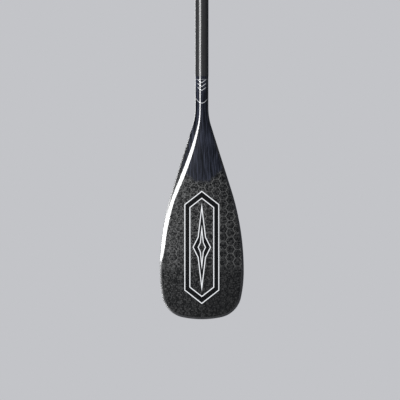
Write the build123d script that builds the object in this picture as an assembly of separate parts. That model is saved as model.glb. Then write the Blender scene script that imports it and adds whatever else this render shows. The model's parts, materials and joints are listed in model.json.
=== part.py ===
"""Single-bladed paddle with a telescoping shaft, a cam-lever shaft clamp and a palm grip.

Frame: +Z runs up the shaft towards the grip, X runs across the blade and the front of the blade faces -Y.
The origin is on the shaft's axis, at the joint line where the shaft meets the neck of the blade, so the
blade hangs below it. Everything is in millimetres.
"""

from build123d import *
from dataclasses import dataclass
from math import asin, atan2, ceil, cos, exp, hypot, pi, radians, sin, sqrt, tan
import os

# ---------------------------------------------------------------- driving dimensions
# Shaft tubes
SHAFT_RADIUS = 14.75
SHAFT_WALL = 1.25
SHAFT_LENGTH = 1050.0
EXTENSION_WALL = 1.5
MIN_OVERLAP = 120.0
TRAVEL_UP = 300.0
TRAVEL_DOWN = 100.0
KEYWAY_WIDTH = 3.0
KEYWAY_DEPTH = 0.8

# Fits
GLUE_LINE = 0.2
RUNNING = 0.05
KEY_CLEARANCE = 0.15
BUSH_WALL = 0.5
NECK_STEP = 0.25

# Blade, seen from the front
BLADE_DEPTH = 530.0
BLADE_WIDTH = 183.0
NECK_RADIUS = SHAFT_RADIUS - NECK_STEP
NECK_STRAIGHT = 68.0
NECK_SWEEP_RADIUS = 140.0
FLANK_ANGLE = radians(17.5)
WIDEST_DEPTH = 0.8 * BLADE_DEPTH
TIP_SIDE_RADIUS = 0.53 * BLADE_DEPTH
TIP_SIDE_TURN = radians(12.0)
TIP_CORNER_END = radians(78.0)

# Blade, seen from the side. Each pair is a share of the blade's depth and a height above the parting surface.
FRONT_CROWN = [(0, NECK_RADIUS), (0.2, NECK_RADIUS), (0.28, 14.3), (0.41, 12.3), (0.54, 10.0)]
FRONT_CROWN += [(0.69, 9.9), (0.735, 9.2), (0.79, 6.0), (0.9, 4.2), (1.03, 2.6)]
BACK_CROWN = [(0, NECK_RADIUS), (0.16, NECK_RADIUS), (0.28, 9.5), (0.43, 4.8), (0.62, 3.2)]
BACK_CROWN += [(0.8, 2.8), (1.03, 1.8)]
SPINE_HEIGHT = [(0, 0.0), (0.16, 0.0), (0.31, 4.2), (0.43, 5.0), (0.62, 2.6), (0.85, 0.0), (1.03, 0.0)]
RIM_THICKNESS = [(0, 0.0), (0.128, 0.0), (0.223, 3.2), (0.8, 3.2), (1.03, 2.4)]
SPINE_WIDTH = 21.0
RAKE_ANGLE = radians(10.0)
RAKE_START = 0.185 * BLADE_DEPTH
RAKE_END = 0.377 * BLADE_DEPTH
SKIN = SHAFT_WALL - NECK_STEP
STATION_STEP = 20.0
SECTION_POINTS = 21

# Rail round the rim
RAIL_WIDTH = 4.6
RAIL_START = 0.223 * BLADE_DEPTH
RAIL_ROUNDING = 1.4

# Spigot that joins neck and shaft, and the foam plug above it
SPIGOT_WALL = 2.2
SPIGOT_IN_SHAFT = 75.0
CORE_GAP = 3.0
BULKHEAD_LENGTH = 30.0

# Guide bush in the mouth of the shaft
BUSH_SLEEVE = 46.0
BUSH_FLANGE = 0.85
BUSH_FLANGE_HEIGHT = 5.0
BUSH_FLANGE_ROUNDING = 1.5

# Clamp
COLLAR_HEIGHT = 34.0
COLLAR_WALL = 4.25
COLLAR_TOP_GAP = 3.0
COLLAR_ROUNDING = 1.2
SEAT_STEP = 0.25
SEAT_MARGIN = 1.0
SLIT = 2.5
SHAFT_SLOT = 2.0
SHAFT_SLOT_LENGTH = 36.0
EAR_HALF = 10.0
EAR_HEIGHT = 26.0
EAR_CORNER = 5.0
EAR_MARGIN = 7.0
BOLT_OFFSET = 11.25
BOLT_RADIUS = 2.5
BOLT_HOLE_RADIUS = 2.65
BOLT_SPARE = 2.0
SADDLE_SIZE = 14.0
SADDLE_HEIGHT = 18.0
SADDLE_THICKNESS = 2.2
CAM_RADIUS = 8.4
CAM_THROW = 1.2
CAM_CLEARANCE = 0.03
LEVER_HEIGHT = 18.0
LEVER_THICKNESS = 3.6
LEVER_GAP = 2.6
LEVER_WRAP = radians(115.0)
LEVER_TAB = 9.0
LEVER_TAB_FLARE = radians(24.0)
LEVER_OPEN = radians(110.0)
LEVER_SLOT_MARGIN = 0.4
LEVER_SLOT_SPARE = radians(52.0)
PIN_RADIUS = 3.6
WASHER_RADIUS = 6.2
WASHER_THICKNESS = 1.2
NUT_RADIUS = 7.4
NUT_LENGTH = 9.0
NUT_FLUTES = 16
NUT_FLUTE_RADIUS = 0.9
NUT_TRAVEL = 1.6

# Fittings at the lower end of the extension tube
SLIDE_RING_LENGTH = 30.0
BUNG_LENGTH = 20.0
BUNG_FLANGE = 3.0
BUNG_RIM = 0.3
SEAL_RADIUS = 0.9
SEAL_HEIGHT = 11.0

# Grip. Its heights are measured up from the lower end of its shells.
FERRULE_HEIGHT = 8.0
FERRULE_WALL = 2.2
FERRULE_ROUNDING = 2.0
FERRULE_GAP = 5.0
GRIP_HEIGHT = 112.0
GRIP_HALF_WIDTH = 54.0
GRIP_STEM_WALL = 1.2
GRIP_STEM_STRAIGHT = 20.0
GRIP_SWEEP_RADIUS = 30.0
GRIP_END_RADIUS = 17.0
GRIP_TOP_RADIUS = 90.0
GRIP_FLAT = 1.6
GRIP_WALL = 1.1
TUBE_IN_GRIP = 40.0
GRIP_SPIGOT_LENGTH = 45.0
GRIP_SPIGOT_HEAD = 6.0

# ---------------------------------------------------------------- sizes worked out from them
SHAFT_BORE = SHAFT_RADIUS - SHAFT_WALL
EXTENSION_RADIUS = SHAFT_BORE - BUSH_WALL
EXTENSION_BORE = EXTENSION_RADIUS - EXTENSION_WALL
COLLAR_RADIUS = SHAFT_RADIUS + COLLAR_WALL
COLLAR_TOP = SHAFT_LENGTH - COLLAR_TOP_GAP
COLLAR_BOTTOM = COLLAR_TOP - COLLAR_HEIGHT
COLLAR_MIDDLE = (COLLAR_TOP + COLLAR_BOTTOM) / 2
SEAT_RADIUS = SHAFT_RADIUS - SEAT_STEP
SEAT_BOTTOM = COLLAR_BOTTOM - SEAT_MARGIN
BOLT_X = SHAFT_RADIUS + BOLT_OFFSET
EAR_REACH = BOLT_X + EAR_MARGIN
PIVOT_Y = -(EAR_HALF + SADDLE_THICKNESS + CAM_CLEARANCE + CAM_RADIUS + CAM_THROW)
LEVER_WRAP_RADIUS = COLLAR_RADIUS + LEVER_GAP + LEVER_THICKNESS / 2
EXTENSION_BOTTOM = SHAFT_LENGTH - MIN_OVERLAP - TRAVEL_UP
FERRULE_BOTTOM = SHAFT_LENGTH + BUSH_FLANGE_HEIGHT + FERRULE_GAP + TRAVEL_DOWN
GRIP_BOTTOM = FERRULE_BOTTOM + FERRULE_HEIGHT
GRIP_STEM_HALF = EXTENSION_RADIUS + GRIP_STEM_WALL
EXTENSION_TOP = GRIP_BOTTOM + TUBE_IN_GRIP
CUT_SPARE = 5.0
WIDE = 2 * BLADE_WIDTH


# ---------------------------------------------------------------- outlines made of arcs
@dataclass
class Bend:
    """One arc of an outline: its centre, its radius (negative where the outline is hollow) and the angles of
    the outward normal at its two ends, all in the XZ plane."""

    x: float
    z: float
    radius: float
    start: float
    end: float

    def at(self, angle, inset=0.0):
        """Point of the arc where the outward normal has this angle, for an outline taken in by inset."""
        reach = self.radius - inset
        return (self.x + reach * cos(angle), self.z + reach * sin(angle))


def blade_bends():
    """The blade's right-hand outline from the neck to the middle of the tip."""
    neck = Bend(NECK_RADIUS + NECK_SWEEP_RADIUS, -NECK_STRAIGHT, -NECK_SWEEP_RADIUS, 0.0, FLANK_ANGLE)
    sweep_x, sweep_z = neck.at(FLANK_ANGLE)
    half = BLADE_WIDTH / 2
    # the shoulder arc ends upright at the widest point and starts in line with the flank
    rise = tan(FLANK_ANGLE) * (WIDEST_DEPTH + sweep_z) - (half - sweep_x)
    shoulder_radius = rise / (1 / cos(FLANK_ANGLE) - 1)
    shoulder = Bend(half - shoulder_radius, -WIDEST_DEPTH, shoulder_radius, FLANK_ANGLE, 0.0)
    side = Bend(half - TIP_SIDE_RADIUS, -WIDEST_DEPTH, TIP_SIDE_RADIUS, 0.0, -TIP_SIDE_TURN)
    # the corner and bottom arcs follow in line, and end level on the middle line at the blade's full depth
    side_x, side_z = side.at(-TIP_SIDE_TURN)
    a, b, left_down = TIP_SIDE_TURN, TIP_CORNER_END, BLADE_DEPTH + side_z
    rows = ((sin(b) - sin(a), 1 - sin(b), left_down), (cos(a) - cos(b), cos(b), side_x))
    (m, n, p), (q, r, s) = rows
    corner_radius = (p * r - n * s) / (m * r - n * q)
    bottom_radius = (m * s - p * q) / (m * r - n * q)
    corner = Bend(side_x - corner_radius * cos(a), side_z + corner_radius * sin(a), corner_radius, -a, -b)
    bottom = Bend(0.0, -BLADE_DEPTH + bottom_radius, bottom_radius, -b, -pi / 2)
    return [neck, shoulder, side, corner, bottom]


def grip_bends():
    """The grip's right-hand outline from the top of its stem to the middle of its top."""
    stem_x, stem_z = GRIP_STEM_HALF + GRIP_SWEEP_RADIUS, GRIP_BOTTOM + GRIP_STEM_STRAIGHT
    top_z = GRIP_BOTTOM + GRIP_HEIGHT - GRIP_TOP_RADIUS
    end_x = GRIP_HALF_WIDTH - GRIP_END_RADIUS
    end_z = top_z + sqrt((GRIP_TOP_RADIUS - GRIP_END_RADIUS) ** 2 - end_x**2)
    # the flank is the line that touches both the sweep of the stem and the round end
    across, up = stem_x - end_x, end_z - stem_z
    flank = asin((GRIP_SWEEP_RADIUS + GRIP_END_RADIUS) / hypot(across, up)) - atan2(across, up)
    meet = atan2(end_z - top_z, end_x)
    return [
        Bend(stem_x, stem_z, -GRIP_SWEEP_RADIUS, 0.0, -flank),
        Bend(end_x, end_z, GRIP_END_RADIUS, -flank, meet),
        Bend(0.0, top_z, GRIP_TOP_RADIUS, meet, pi / 2),
    ]


def outline_face(bends, open_z, inset=0.0):
    """Face in the XZ plane, the same on both sides of Z, closed by a level line at open_z."""
    corner = (bends[0].at(bends[0].start, inset)[0], open_z)
    edges, last = [], corner
    for bend in bends:
        first, middle, end = (bend.at(t, inset) for t in (bend.start, (bend.start + bend.end) / 2, bend.end))
        for side in (1, -1):
            if hypot(first[0] - last[0], first[1] - last[1]) > 1e-6:
                edges.append(Edge.make_line((side * last[0], 0, last[1]), (side * first[0], 0, first[1])))
            edges.append(Edge.make_three_point_arc(*[(side * x, 0, z) for x, z in (first, middle, end)]))
        last = end
    edges.append(Edge.make_line((-corner[0], 0, open_z), (corner[0], 0, open_z)))
    return Face(Wire(edges))


def slab(face, half_depth):
    """The face made a solid, the same distance to the front and to the back."""
    return extrude(face, amount=half_depth, dir=(0, 1, 0), both=True)


def band(radius, bore, low, high):
    """Upright tube about the shaft's axis between two heights."""
    outer = Pos(0, 0, (low + high) / 2) * Cylinder(radius, high - low)
    return outer - Pos(0, 0, (low + high) / 2) * Cylinder(bore, high - low + CUT_SPARE)


def rod(radius, low, high):
    """Upright cylinder about the shaft's axis between two heights."""
    return Pos(0, 0, (low + high) / 2) * Cylinder(radius, high - low)


def cross_rod(radius, x, low, high, z):
    """Cylinder along Y between two distances."""
    return Pos(x, (low + high) / 2, z) * Rot(90, 0, 0) * Cylinder(radius, high - low)


# ---------------------------------------------------------------- blade
def eased(pairs, depth):
    """Value at a depth on a smooth curve with no overshoot, level before its first pair."""
    share = min(max(depth / BLADE_DEPTH, pairs[0][0]), pairs[-1][0])
    spans = [(b[1] - a[1]) / (b[0] - a[0]) for a, b in zip(pairs, pairs[1:])]
    joins = [2 * a * b / (a + b) if a * b > 0 else 0.0 for a, b in zip(spans, spans[1:])]
    slopes = [0.0, *joins, spans[-1]]
    i = next(i for i in range(len(spans)) if share <= pairs[i + 1][0])
    (start, low), (end, high) = pairs[i], pairs[i + 1]
    t = (share - start) / (end - start)
    lean = slopes[i] * t * (1 - t) ** 2 - slopes[i + 1] * t * t * (1 - t)
    return low + (high - low) * t * t * (3 - 2 * t) + (end - start) * lean


def half_width(bends, depth):
    """Half of the blade's width at a depth, kept at its greatest below the widest point."""
    z = -min(depth, WIDEST_DEPTH)
    neck, shoulder = bends[:2]
    sweep_x, sweep_z = neck.at(neck.end)
    if z > neck.z:
        return NECK_RADIUS
    if z > sweep_z:
        return neck.x - sqrt(neck.radius**2 - (z - neck.z) ** 2)
    if z > shoulder.at(shoulder.start)[1]:
        return sweep_x + (sweep_z - z) * tan(FLANK_ANGLE)
    return shoulder.x + sqrt(shoulder.radius**2 - (z - shoulder.z) ** 2)


def rake(depth):
    """How far the parting surface lies in front of the shaft's axis at a depth."""
    if depth <= RAKE_START:
        return 0.0
    if depth <= RAKE_END:
        return tan(RAKE_ANGLE) * (depth - RAKE_START) ** 2 / (2 * (RAKE_END - RAKE_START))
    return tan(RAKE_ANGLE) * (depth - (RAKE_START + RAKE_END) / 2)


def blade_section(bends, depth, wall):
    """Level section through the blade: a front arc and a back arc that meet outside the rim."""
    front, back = eased(FRONT_CROWN, depth), eased(BACK_CROWN, depth)
    spine = eased(SPINE_HEIGHT, depth)
    rim = eased(RIM_THICKNESS, depth)
    reach = half_width(bends, depth) / sqrt(1 - (rim / (front + back)) ** 2) - wall
    steps = [i / (SECTION_POINTS - 1) for i in range(SECTION_POINTS)]

    def face_line(side, height, ridge):
        points = []
        for step in steps:
            x = -reach * cos(pi * step)
            lift = (height + ridge * exp(-((x / SPINE_WIDTH) ** 2))) * sin(pi * step)
            points.append((x, side * lift - rake(depth), -depth))
        climb = pi * side * (height + ridge * exp(-((reach / SPINE_WIDTH) ** 2)))
        ends = [(0, climb, 0), (0, -climb, 0)]
        return Edge.make_spline(points, tangents=ends, parameters=steps, scale=False)

    return Wire([face_line(-1, front - wall, 0.0), face_line(1, back - wall, spine)])


def blade_body(bends, wall):
    """The blade's full crowned body with no rim cut, taken in by a wall, a little past both its ends."""
    above = ceil((NECK_STRAIGHT + CUT_SPARE) / STATION_STEP)
    beneath = ceil((BLADE_DEPTH + CUT_SPARE - NECK_STRAIGHT) / STATION_STEP)
    depths = [NECK_STRAIGHT + STATION_STEP * i for i in range(-above, beneath + 1)]
    return Solid.make_loft([blade_section(bends, depth, wall) for depth in depths])


def front_half():
    """Everything in front of the parting surface."""
    top, bottom = CUT_SPARE, -(BLADE_DEPTH + CUT_SPARE)
    bend = [(-rake(d), -d) for d in (RAKE_START, (RAKE_START + RAKE_END) / 2, RAKE_END)]
    bend[1] = (0.0, bend[1][1])
    end = (-rake(-bottom), bottom)
    outer = [(0, *end), (0, -WIDE, bottom), (0, -WIDE, top), (0, 0, top), (0, 0, -RAKE_START)]
    edges = [Edge.make_line(a, b) for a, b in zip(outer, outer[1:])]
    edges.append(Edge.make_bezier(*[(0, *point) for point in bend]))
    edges.append(Edge.make_line((0, *bend[-1]), (0, *end)))
    return extrude(Face(Wire(edges)), amount=BLADE_WIDTH, dir=(1, 0, 0), both=True)


def below(depth):
    """Block that holds everything below a depth."""
    height = BLADE_DEPTH + CUT_SPARE - depth
    return Pos(0, 0, -depth - height / 2) * Box(2 * WIDE, 2 * WIDE, height)


def rim_cutter(bends, inset):
    """Cutter with the blade's outline, taken in by inset, that leaves everything above the rail whole."""
    above = Pos(0, 0, CUT_SPARE - RAIL_START / 2) * Box(2 * WIDE, 2 * WIDE, RAIL_START + 2 * CUT_SPARE)
    return slab(outline_face(bends, CUT_SPARE, inset), WIDE) + above


def on_rim(edge, bends):
    """Whether an edge of the rail runs along the outer outline."""
    point = edge @ 0.5
    inner = outline_face(bends, CUT_SPARE, RAIL_ROUNDING / 2)
    probe = Vertex(point.X, 0, point.Z)
    return inner.distance_to(probe) > RAIL_ROUNDING / 4 and abs(point.Z + RAIL_START) > 1


def blade_parts():
    """Front skin, back skin, foam core and rim rail."""
    bends = blade_bends()
    outer = blade_body(bends, 0.0) & rim_cutter(bends, 0.0) & below(0.0)
    inner = blade_body(bends, SKIN) & rim_cutter(bends, RAIL_WIDTH)
    rail = (outer & below(RAIL_START)) - slab(outline_face(bends, CUT_SPARE, RAIL_WIDTH), WIDE)
    shell = outer - inner - rail
    front = front_half()
    core = inner & below(NECK_STRAIGHT + CORE_GAP)
    rail = fillet([e for e in rail.edges() if on_rim(e, bends)], RAIL_ROUNDING)
    return {"front_skin": shell & front, "back_skin": shell - front, "blade_core": core, "edge_rail": rail}


# ---------------------------------------------------------------- shaft
def shaft_parts():
    """Lower tube with its clamp seat and slots, spigot, bulkhead and guide bush."""
    tube = band(SHAFT_RADIUS, SHAFT_BORE, 0, SEAT_BOTTOM)
    tube += band(SEAT_RADIUS, SHAFT_BORE, SEAT_BOTTOM, SHAFT_LENGTH)
    tube -= Pos(0, 0, SHAFT_LENGTH) * Box(2 * WIDE, SHAFT_SLOT, 2 * SHAFT_SLOT_LENGTH)
    spigot_radius = SHAFT_BORE - GLUE_LINE
    spigot = band(spigot_radius, spigot_radius - SPIGOT_WALL, -NECK_STRAIGHT, SPIGOT_IN_SHAFT)
    bulkhead = rod(SHAFT_BORE, SPIGOT_IN_SHAFT, SPIGOT_IN_SHAFT + BULKHEAD_LENGTH)
    bore = EXTENSION_RADIUS + RUNNING
    bush = band(SHAFT_BORE, bore, SHAFT_LENGTH - BUSH_SLEEVE, SHAFT_LENGTH)
    flange = band(SHAFT_RADIUS + BUSH_FLANGE, bore, SHAFT_LENGTH, SHAFT_LENGTH + BUSH_FLANGE_HEIGHT)
    bush += fillet(flange.edges().group_by(Axis.Z)[-1].sort_by(SortBy.RADIUS)[-1], BUSH_FLANGE_ROUNDING)
    key_depth = KEYWAY_DEPTH - KEY_CLEARANCE
    key_low = EXTENSION_RADIUS - key_depth
    key_high = bore + (SHAFT_BORE - bore) / 2
    key_length = BUSH_SLEEVE + BUSH_FLANGE_HEIGHT
    key = Pos(0, (key_low + key_high) / 2, SHAFT_LENGTH + BUSH_FLANGE_HEIGHT - key_length / 2)
    bush += key * Box(KEYWAY_WIDTH - 2 * KEY_CLEARANCE, key_high - key_low, key_length)
    return {"lower_tube": tube, "neck_spigot": spigot, "shaft_bulkhead": bulkhead, "guide_bush": bush}


def extension_parts():
    """Extension tube with its keyway, and the ring, bung and seal at its lower end."""
    bottom = EXTENSION_BOTTOM
    tube = band(EXTENSION_RADIUS, EXTENSION_BORE, bottom, EXTENSION_TOP)
    keyway_bottom = bottom + SLIDE_RING_LENGTH
    keyway_length = FERRULE_BOTTOM - keyway_bottom
    keyway = Pos(0, EXTENSION_RADIUS, keyway_bottom + keyway_length / 2)
    tube -= keyway * Box(KEYWAY_WIDTH, 2 * KEYWAY_DEPTH, keyway_length)
    ring = band(SHAFT_BORE - RUNNING, EXTENSION_RADIUS, bottom, bottom + SLIDE_RING_LENGTH)
    bung = rod(EXTENSION_BORE, bottom, bottom + BUNG_LENGTH)
    bung += rod(EXTENSION_RADIUS - BUNG_RIM, bottom - BUNG_FLANGE, bottom)
    groove_radius = EXTENSION_BORE - 2 * SEAL_RADIUS
    seal_z = bottom + SEAL_HEIGHT
    bung -= band(EXTENSION_RADIUS, groove_radius, seal_z - SEAL_RADIUS, seal_z + SEAL_RADIUS)
    seal = Pos(0, 0, seal_z) * Torus(groove_radius + SEAL_RADIUS, SEAL_RADIUS)
    return {"extension_tube": tube, "slide_ring": ring, "tube_bung": bung, "bung_seal": seal}


# ---------------------------------------------------------------- clamp
def clamp_collar():
    """Split collar with two ears for the bolt."""
    collar = Pos(0, 0, COLLAR_MIDDLE) * Cylinder(COLLAR_RADIUS, COLLAR_HEIGHT)
    ear = Pos(EAR_REACH / 2, 0, COLLAR_MIDDLE) * Box(EAR_REACH, 2 * EAR_HALF, EAR_HEIGHT)
    ear = fillet(ear.edges().filter_by(Axis.Y).group_by(Axis.X)[-1], EAR_CORNER)
    collar = fillet(collar.edges().filter_by(GeomType.CIRCLE), COLLAR_ROUNDING) + ear
    collar -= rod(SEAT_RADIUS, COLLAR_BOTTOM - CUT_SPARE, COLLAR_TOP + CUT_SPARE)
    collar -= Pos(EAR_REACH, 0, COLLAR_MIDDLE) * Box(2 * EAR_REACH, SLIT, COLLAR_HEIGHT + CUT_SPARE)
    return collar - cross_rod(BOLT_HOLE_RADIUS, BOLT_X, -WIDE, WIDE, COLLAR_MIDDLE)


def cam_lever():
    """Lever with two cam cheeks, an arm that wraps round the collar and a flared thumb tab."""
    turns = (0.0, LEVER_WRAP / 2, LEVER_WRAP)
    wrap = [(-LEVER_WRAP_RADIUS * sin(t), -LEVER_WRAP_RADIUS * cos(t)) for t in turns]
    heading = (-cos(LEVER_WRAP - LEVER_TAB_FLARE), sin(LEVER_WRAP - LEVER_TAB_FLARE))
    tab_end = (wrap[2][0] + LEVER_TAB * heading[0], wrap[2][1] + LEVER_TAB * heading[1])
    root = (BOLT_X, PIVOT_Y - CAM_RADIUS + LEVER_THICKNESS)
    path = [
        Edge.make_line(root, wrap[0]),
        Edge.make_three_point_arc(*wrap),
        Edge.make_line(wrap[2], tab_end),
    ]
    arm = extrude(trace(Wire(path).edges(), LEVER_THICKNESS), amount=LEVER_HEIGHT / 2, both=True)
    cam = Pos(BOLT_X, PIVOT_Y + CAM_THROW) * Cylinder(CAM_RADIUS, LEVER_HEIGHT)
    lever = cam + arm
    # room for the bolt between the cheeks, over the whole swing
    reach = 2 * (CAM_RADIUS + CAM_THROW)
    first, last = pi / 2 + LEVER_SLOT_SPARE, pi / 2 - LEVER_OPEN - LEVER_SLOT_SPARE
    turns = [first + (last - first) * i / 3 for i in range(4)]
    fan = [(0.0, 0.0)] + [(reach * cos(t), reach * sin(t)) for t in turns]
    slot = extrude(Face(Wire.make_polygon(fan)), amount=BOLT_RADIUS + LEVER_SLOT_MARGIN, both=True)
    lever -= Pos(BOLT_X, PIVOT_Y) * slot
    lever -= Pos(BOLT_X, PIVOT_Y) * Cylinder(PIN_RADIUS + RUNNING, LEVER_HEIGHT + CUT_SPARE)
    return Pos(0, 0, COLLAR_MIDDLE) * lever


def thumb_nut(face_y):
    """Fluted nut whose inner face lies at face_y."""
    nut = cross_rod(NUT_RADIUS, 0, 0, NUT_LENGTH, 0)
    nut = chamfer(nut.edges().filter_by(GeomType.CIRCLE), 0.8)
    for i in range(NUT_FLUTES):
        flute = cross_rod(NUT_FLUTE_RADIUS, NUT_RADIUS, -CUT_SPARE, NUT_LENGTH + CUT_SPARE, 0)
        nut -= Rot(0, 360 / NUT_FLUTES * i, 0) * flute
    nut -= cross_rod(BOLT_RADIUS + RUNNING, 0, -CUT_SPARE, NUT_LENGTH + CUT_SPARE, 0)
    return Pos(BOLT_X, face_y, COLLAR_MIDDLE) * nut


def clamp_parts():
    """Collar, lever, cross pin, bolt, saddle, washer and thumb nut."""
    saddle_face = -(EAR_HALF + SADDLE_THICKNESS)
    saddle_middle = (saddle_face - EAR_HALF) / 2
    saddle = Pos(BOLT_X, saddle_middle, COLLAR_MIDDLE) * Box(SADDLE_SIZE, SADDLE_THICKNESS, SADDLE_HEIGHT)
    saddle -= cross_rod(BOLT_HOLE_RADIUS, BOLT_X, -WIDE, WIDE, COLLAR_MIDDLE)
    washer = cross_rod(WASHER_RADIUS, BOLT_X, EAR_HALF, EAR_HALF + WASHER_THICKNESS, COLLAR_MIDDLE)
    washer -= cross_rod(BOLT_HOLE_RADIUS, BOLT_X, -WIDE, WIDE, COLLAR_MIDDLE)
    nut_face = EAR_HALF + WASHER_THICKNESS
    bolt_end = nut_face + NUT_LENGTH + NUT_TRAVEL + BOLT_SPARE
    bolt = cross_rod(BOLT_RADIUS, BOLT_X, PIVOT_Y - PIN_RADIUS / 2, bolt_end, COLLAR_MIDDLE)
    bolt = chamfer(bolt.edges().filter_by(GeomType.CIRCLE), 0.5)
    pin = Pos(BOLT_X, PIVOT_Y, COLLAR_MIDDLE) * Cylinder(PIN_RADIUS, LEVER_HEIGHT)
    return {
        "clamp_collar": clamp_collar(),
        "cam_lever": cam_lever(),
        "barrel_pin": pin - bolt,
        "tension_bolt": bolt,
        "cam_saddle": saddle,
        "nut_washer": washer,
        "thumb_nut": thumb_nut(nut_face),
    }


# ---------------------------------------------------------------- grip
def grip_body(inset, low):
    """The palm grip's rounded body, taken in by inset, down to a height."""
    face = outline_face(grip_bends(), low, inset)
    side = GRIP_STEM_HALF - inset
    body = slab(face, side)
    rim = [e for e in body.edges() if abs(abs((e @ 0.5).Y) - side) < 1e-6 and (e @ 0.5).Z > low + 1e-6]
    return fillet(rim, side - GRIP_FLAT)


def grip_parts():
    """Two shells, foam core, ferrule and the spigot in the top of the tube."""
    outer, inner = grip_body(0.0, GRIP_BOTTOM), grip_body(GRIP_WALL, GRIP_BOTTOM)
    socket = rod(EXTENSION_RADIUS, GRIP_BOTTOM - CUT_SPARE, EXTENSION_TOP)
    head = rod(EXTENSION_RADIUS, EXTENSION_TOP, EXTENSION_TOP + GRIP_SPIGOT_HEAD)
    stem = rod(EXTENSION_BORE, EXTENSION_TOP - GRIP_SPIGOT_LENGTH, EXTENSION_TOP)
    shell = outer - inner - socket
    front = Pos(0, -WIDE / 2, GRIP_BOTTOM) * Box(WIDE, WIDE, WIDE)
    ferrule = band(EXTENSION_RADIUS + FERRULE_WALL, EXTENSION_RADIUS, FERRULE_BOTTOM, GRIP_BOTTOM)
    ferrule = fillet(ferrule.edges().group_by(Axis.Z)[0].sort_by(SortBy.RADIUS)[-1], FERRULE_ROUNDING)
    return {
        "grip_front_shell": shell & front,
        "grip_rear_shell": shell - front,
        "grip_core": inner - socket - head,
        "grip_spigot": stem + head,
        "grip_ferrule": ferrule,
    }


def main():
    """Writes one STEP file for each part."""
    os.makedirs("parts", exist_ok=True)
    for build in (blade_parts, shaft_parts, extension_parts, clamp_parts, grip_parts):
        for node, shape in build().items():
            export_step(shape, f"parts/{node}.step")


if __name__ == "__main__":
    main()
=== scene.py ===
"""Looks of a raked single-bladed paddle: lacquered carbon blade, satin shaft, cam clamp and palm grip.

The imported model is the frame. The blade's skins, its rail, the clamp's collar, lever and nut, and the
length scale on the extension tube are made here; every other node keeps its shape and gets a finish.
Everything is in metres: +Z runs up the shaft, X across the blade, and the blade's front faces -Y.
"""

import json
import logging
from dataclasses import dataclass, field
from enum import Enum
from math import atan2, cos, exp, hypot, pi, radians, sin, sqrt, tan
from typing import Callable, Iterable, Optional, Sequence, Union

import bpy
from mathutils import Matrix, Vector


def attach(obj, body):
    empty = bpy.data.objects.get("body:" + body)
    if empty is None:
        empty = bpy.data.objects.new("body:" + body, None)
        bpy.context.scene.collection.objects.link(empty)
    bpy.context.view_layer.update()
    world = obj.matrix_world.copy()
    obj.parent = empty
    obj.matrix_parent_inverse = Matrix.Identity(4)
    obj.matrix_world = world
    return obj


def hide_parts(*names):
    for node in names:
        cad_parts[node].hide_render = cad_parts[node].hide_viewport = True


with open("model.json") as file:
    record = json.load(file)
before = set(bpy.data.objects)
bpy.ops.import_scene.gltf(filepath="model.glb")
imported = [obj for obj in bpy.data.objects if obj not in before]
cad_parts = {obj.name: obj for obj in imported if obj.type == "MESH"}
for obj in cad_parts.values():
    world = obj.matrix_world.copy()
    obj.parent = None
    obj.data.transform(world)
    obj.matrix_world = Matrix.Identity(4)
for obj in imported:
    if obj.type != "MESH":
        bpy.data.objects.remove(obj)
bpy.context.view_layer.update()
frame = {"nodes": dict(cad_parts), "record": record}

log = logging.getLogger("paddle")
MM = 0.001
Number = Union[float, "Field"]
Colour = tuple[float, float, float]
Point = tuple[float, float, float]
Pair = tuple[float, float]
Spread = tuple[float, float, float]
ALONG_Y = (radians(90), 0.0, 0.0)


# ================================================================ node graphs
@dataclass(frozen=True)
class Field:
    """A value in a material's node tree that adds, multiplies and compares like a number."""

    graph: "Graph"
    socket: bpy.types.NodeSocket

    def math(self, operation: str, *others: Number) -> "Field":
        """Adds a Math node.

        Args:
            operation: the Math node's operation.
            others: its second and third inputs.

        Returns:
            The node's result.
        """
        node = self.graph.node("ShaderNodeMath", operation=operation)
        for slot, value in zip(node.inputs, (self, *others)):
            self.graph.feed(slot, value)
        return Field(self.graph, node.outputs[0])

    def __add__(self, other: Number) -> "Field":
        """Sum."""
        return self.math("ADD", other)

    def __sub__(self, other: Number) -> "Field":
        """Difference."""
        return self.math("SUBTRACT", other)

    def __mul__(self, other: Number) -> "Field":
        """Product."""
        return self.math("MULTIPLY", other)

    def __abs__(self) -> "Field":
        """Size without its sign."""
        return self.math("ABSOLUTE")

    def rest(self) -> "Field":
        """What is left of 1."""
        return self * -1.0 + 1.0

    def wave(self, pitch: float) -> "Field":
        """Sine of the value, with a pitch."""
        return (self * (2 * pi / pitch)).math("SINE")

    def least(self, other: Number) -> "Field":
        """The smaller of two values."""
        return self.math("MINIMUM", other)

    def greatest(self, other: Number) -> "Field":
        """The larger of two values."""
        return self.math("MAXIMUM", other)

    def wrapped(self, half: float) -> "Field":
        """The value folded into the span from -half to half."""
        return self.math("WRAP", half, -half)

    def ramp(self, start: float, end: float, low: float = 0.0, high: float = 1.0) -> "Field":
        """Smooth step between two values.

        Args:
            start: where the step begins; it may be more than end.
            end: where it ends.
            low: result before it.
            high: result after it.

        Returns:
            The stepped value.
        """
        node = self.graph.node("ShaderNodeMapRange", interpolation_type="SMOOTHSTEP")
        rising = start < end
        bounds = (start, end, low, high) if rising else (end, start, high, low)
        self.graph.feed(node.inputs["Value"], self)
        for name, value in zip(("From Min", "From Max", "To Min", "To Max"), bounds):
            node.inputs[name].default_value = value
        return Field(self.graph, node.outputs[0])

    def line(self, width: float, soft: float = 0.25 * MM) -> "Field":
        """1 within half a width of zero, and 0 beyond it."""
        return abs(self).ramp(width / 2 + soft, width / 2 - soft)


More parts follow.
